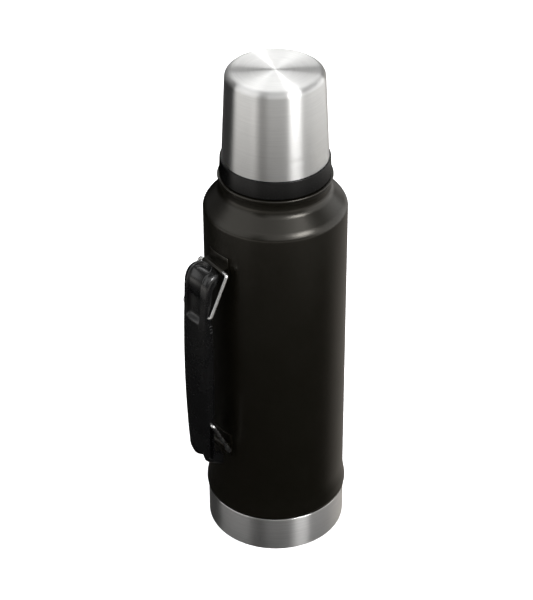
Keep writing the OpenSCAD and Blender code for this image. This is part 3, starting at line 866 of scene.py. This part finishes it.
def flange_seal():
    lo, hi = low("stopper_flange_seal"), high("stopper_flange_seal")
    r_in = MOUTH_R + 0.4
    outline = rounded([(r_in + 1, lo.z), (hi.x, lo.z), (hi.x, hi.z), (r_in, hi.z), (r_in, lo.z),
                       (r_in + 1, lo.z)], [0, 0.4, 0.4, 0.4, 0.4, 0])[:-1]
    turned("flange_seal", outline, STOPPER_STEPS, SILICONE,
           "stopper_seals", "silicone", "stopper_flange_seal")


# ---------------------------------------------------------------- cup

CUP_EDGE, CUP_HIGH_R, CUP_TAPER = 5.0, 32.45, 2.8


def cup():
    outline = ([(CUP_LOW_R - 0.12, CUP_LOW_Z), (CUP_LOW_R, CUP_LOW_Z + 0.25)]
               + arc(CUP_HIGH_R - CUP_EDGE, CUP_TOP - CUP_EDGE, CUP_EDGE, CUP_TAPER, 90, 20)
               + [(CUP_HIGH_R - CUP_EDGE - 1, CUP_TOP), (0, CUP_TOP)])
    wall = backwards(shifted(outline, CUP_WALL))
    turned("cup", outline + wall, SHELL_STEPS, CUP_STEEL, "cup", "cup_steel", "cup_shell")


def cup_liner():
    """The cup's plastic inside, drawn from its axis down the inner wall and up the outer one."""
    seat = CUP_LOW_Z + 6
    bore = NECK_R + RIDGE + 1.4
    wall, edge_r = 1.4, 4
    top_r, top_z = 28.2, high("cup_liner").z - wall
    inside = backwards(arc(top_r - edge_r, top_z - edge_r, edge_r, 2, 90, 8))
    inside += [(30.6, seat + 2), (bore, seat - 1), (bore, COLLAR_Z + 0.6)]
    collar = rounded([(bore + 0.8, COLLAR_Z), (COLLAR_R, COLLAR_Z), (COLLAR_R - 0.6, CUP_LOW_Z),
                      (CUP_LOW_R - 0.55, CUP_LOW_Z)], [0, 0.6, 0.8, 0], 7)
    outside = [(CUP_LOW_R - 0.8, seat), (32.0, seat + 2.5), (top_r + wall, top_z - 2),
               (top_r - 0.4, top_z + wall), (0, top_z + wall)]
    shape = Shape().add(*lathe([(0, top_z)] + inside + collar + outside, LINER_STEPS))
    shape.add(*helix(bore, NECK_R + RIDGE + 0.1, RIM_Z + 2.7, 1.8, 120))
    place(shape.object("cup_collar", [COLLAR]), "cup", "collar_plastic", "cup_liner")


shell()
liner()
base()
bead()
bracket("bracket_upper", TOP_BAR, "top_bracket")
bracket("bracket_lower", LOW_BAR, "bottom_bracket")
wire("wire_upper", TOP_BAR, TOP_PIN, "top_wire", "upper_wire")
wire("wire_lower", LOW_BAR, LOW_PIN, "bottom_wire", "lower_wire")
grip()
grip_cover()
stopper()
stopper_cap()
plug()
gasket()
flange_seal()
cup()
cup_liner()

# Hidden pieces are shown as the CAD made them
for node, material, slot in (("foil_wrap", FOIL, "foil"), ("vacuum_bottom", LINER_STEEL, "liner_steel"),
                             ("exhaust_seal", SEAL, "seal_metal"), ("getter", SEAL, "seal_metal"),
                             ("stopper_foam", FOAM, "foam"), ("cup_foam", FOAM, "foam")):
    obj = frame["nodes"][node]
    obj.data.materials.clear()
    obj.data.materials.append(material)

# ---------------------------------------------------------------- floor and backdrop

FLOOR_REACH, DOME_R = 3000, 2900
WHITE = (1, 1, 1)

corners = [(x * FLOOR_REACH, y * FLOOR_REACH, 0) for x, y in ((-1, -1), (1, -1), (1, 1), (-1, 1))]
floor_paint = Paint("floor_white", (0.86, 0.86, 0.86), 0.9, specular=0.1).glow(WHITE, 0.93)
floor = Shape().add(corners, [(0, 1, 2, 3)]).object("floor", [floor_paint.mat])
floor.visible_glossy = False

backdrop_paint = Paint("backdrop_white", (0, 0, 0), 1.0, specular=0.0).glow(WHITE, 1.0)
dome = lathe([(DOME_R, -5)] + arc(0, 0, DOME_R, 5, 85, 8) + [(0, DOME_R)], 48, closed=False)
backdrop = Shape().add(*dome).object("backdrop", [backdrop_paint.mat])
backdrop.visible_diffuse = backdrop.visible_glossy = backdrop.visible_shadow = False

# ---------------------------------------------------------------- light

CAM_AZ = 51.5


def way(azimuth, elevation=0):
    """The direction at an azimuth counted from the camera's side, to the right in the picture."""
    a, e = rad(CAM_AZ + azimuth), rad(elevation)
    return Vector((math.cos(a) * math.cos(e), math.sin(a) * math.cos(e), math.sin(e)))


# Azimuth of a lit stretch of the table, half its width with and without its soft ends, and its strength
TABLE_STRETCHES = ((-67, 36, 22, 1.25), (0, 56, 24, 0.8), (45, 20, 8, 0.8), (108, 62, 42, 0.8))
TABLE_IN, TABLE_OUT, TABLE_FADE = 460, 3000, (0.48, 0.68)


def lit_table():
    """A lit table top round the bottle that shows only in its reflections."""
    m = Paint("table_glow", (0, 0, 0), 1.0, specular=0.0)
    flat = m.node("ShaderNodeVectorMath", operation="NORMALIZE")
    m.set(flat, 0, m.coords)
    level = 0.0
    for azimuth, edge, full, gain in TABLE_STRETCHES:
        near = m.node("ShaderNodeVectorMath", operation="DOT_PRODUCT")
        m.set(near, 0, flat.outputs[0])
        m.set(near, 1, way(azimuth))
        part = m.span(near.outputs["Value"], 0, gain, math.cos(rad(edge)), math.cos(rad(full)))
        level = m.math("ADD", part, level)
    distance = m.node("ShaderNodeVectorMath", operation="LENGTH")
    m.set(distance, 0, m.coords)
    level = m.math("MULTIPLY", level, m.span(distance.outputs["Value"], 0, 1, *TABLE_FADE))
    m.glow((1, 0.97, 0.93), level)
    verts, faces = lathe([(TABLE_IN, 1), (TABLE_OUT, 1)], 96, closed=False)
    obj = Shape().add(verts, faces).object("table_glow", [m.mat])
    obj.visible_camera = obj.visible_diffuse = obj.visible_shadow = False


# Grey of the room by height, straight down at 0 and straight up at 1, and a warm glow low behind the bottle
ROOM_GREYS = ((0.0, 0.015), (1.0, 0.2), (0.40, 0.02), (0.49, 0.06), (0.53, 0.14), (0.62, 0.14))
GLOW_AZ, GLOW_ELEVATION, GLOW_EDGE, GLOW_LEVEL, GLOW_COLOR = 145, -30, 0.66, 0.38, (1, 0.92, 0.82, 1)


def room():
    world = bpy.data.worlds.new("studio")
    bpy.context.scene.world = world
    world.use_nodes = True
    tree = world.node_tree
    nodes, link = tree.nodes, tree.links.new
    direction = nodes.new("ShaderNodeTexCoord").outputs["Generated"]

    parts = nodes.new("ShaderNodeSeparateXYZ")
    link(direction, parts.inputs[0])
    rise = nodes.new("ShaderNodeMapRange")
    rise.inputs["From Min"].default_value = -1
    link(parts.outputs["Z"], rise.inputs["Value"])
    ramp = nodes.new("ShaderNodeValToRGB")
    link(rise.outputs[0], ramp.inputs[0])
    stops = ramp.color_ramp.elements
    for i, (height, grey) in enumerate(ROOM_GREYS[:2]):
        stops[i].position, stops[i].color = height, (grey, grey, grey, 1)
    for height, grey in ROOM_GREYS[2:]:
        stops.new(height).color = (grey, grey, grey, 1)

    toward = nodes.new("ShaderNodeVectorMath")
    toward.operation = "DOT_PRODUCT"
    toward.inputs[1].default_value = way(GLOW_AZ, GLOW_ELEVATION)
    link(direction, toward.inputs[0])
    glow = nodes.new("ShaderNodeMapRange")
    glow.interpolation_type = "SMOOTHSTEP"
    glow.inputs["From Min"].default_value = GLOW_EDGE
    glow.inputs["To Max"].default_value = GLOW_LEVEL
    link(toward.outputs["Value"], glow.inputs["Value"])
    total = nodes.new("ShaderNodeMixRGB")
    total.blend_type = "ADD"
    link(glow.outputs[0], total.inputs[0])
    link(ramp.outputs[0], total.inputs[1])
    total.inputs[2].default_value = GLOW_COLOR
    link(total.outputs[0], nodes["Background"].inputs[0])


LIGHT_AIM = Vector((0, 0, 0.19))


def softbox(name, azimuth, elevation, distance, width, height, power):
    """An area light aimed at the bottle's middle."""
    data = bpy.data.lights.new(name, "AREA")
    data.shape, data.size, data.size_y, data.energy = "RECTANGLE", width, height, power
    obj = bpy.data.objects.new(name, data)
    obj.location = LIGHT_AIM + way(azimuth, elevation) * distance
    obj.rotation_euler = way(azimuth, elevation).to_track_quat("Z", "Y").to_euler()
    obj.visible_camera = False
    bpy.context.scene.collection.objects.link(obj)


lit_table()
room()
softbox("key", azimuth=45, elevation=36, distance=1.3, width=0.50, height=0.34, power=13)
softbox("fill", azimuth=-69, elevation=34, distance=1.4, width=1.5, height=1.5, power=9)
softbox("front", azimuth=6, elevation=40, distance=1.4, width=1.1, height=1.3, power=5)
softbox("right_side", azimuth=96, elevation=12, distance=1.4, width=2.2, height=1.0, power=10)
softbox("back", azimuth=180, elevation=55, distance=1.4, width=0.9, height=1.0, power=7)

# ---------------------------------------------------------------- camera

LENS, SENSOR = 119.22, 36
ELEV, DIST, ROLL, TURN = rad(34.384), 1.35374, rad(-0.294), rad(90 - CAM_AZ)
AIM_RIGHT, AIM_Z = -0.00619, 0.18258

camera_data = bpy.data.cameras.new("camera")
camera = bpy.data.objects.new("camera", camera_data)
bpy.context.scene.collection.objects.link(camera)
bpy.context.scene.camera = camera
camera_data.lens, camera_data.sensor_width = LENS, SENSOR
camera_data.clip_start, camera_data.clip_end = 0.05, 30
right = Vector((-math.cos(TURN), math.sin(TURN), 0))
back = Vector((math.sin(TURN) * math.cos(ELEV), math.cos(TURN) * math.cos(ELEV), math.sin(ELEV)))
up = back.cross(right)
cam_x = right * math.cos(ROLL) + up * math.sin(ROLL)
cam_y = up * math.cos(ROLL) - right * math.sin(ROLL)
aim = right * AIM_RIGHT + Vector((0, 0, AIM_Z))
facing = Matrix((cam_x, cam_y, back)).transposed().to_4x4()
camera.matrix_world = Matrix.Translation(aim + back * DIST) @ facing

view = bpy.context.scene.view_settings
view.view_transform = "Standard"
view.look = "None"
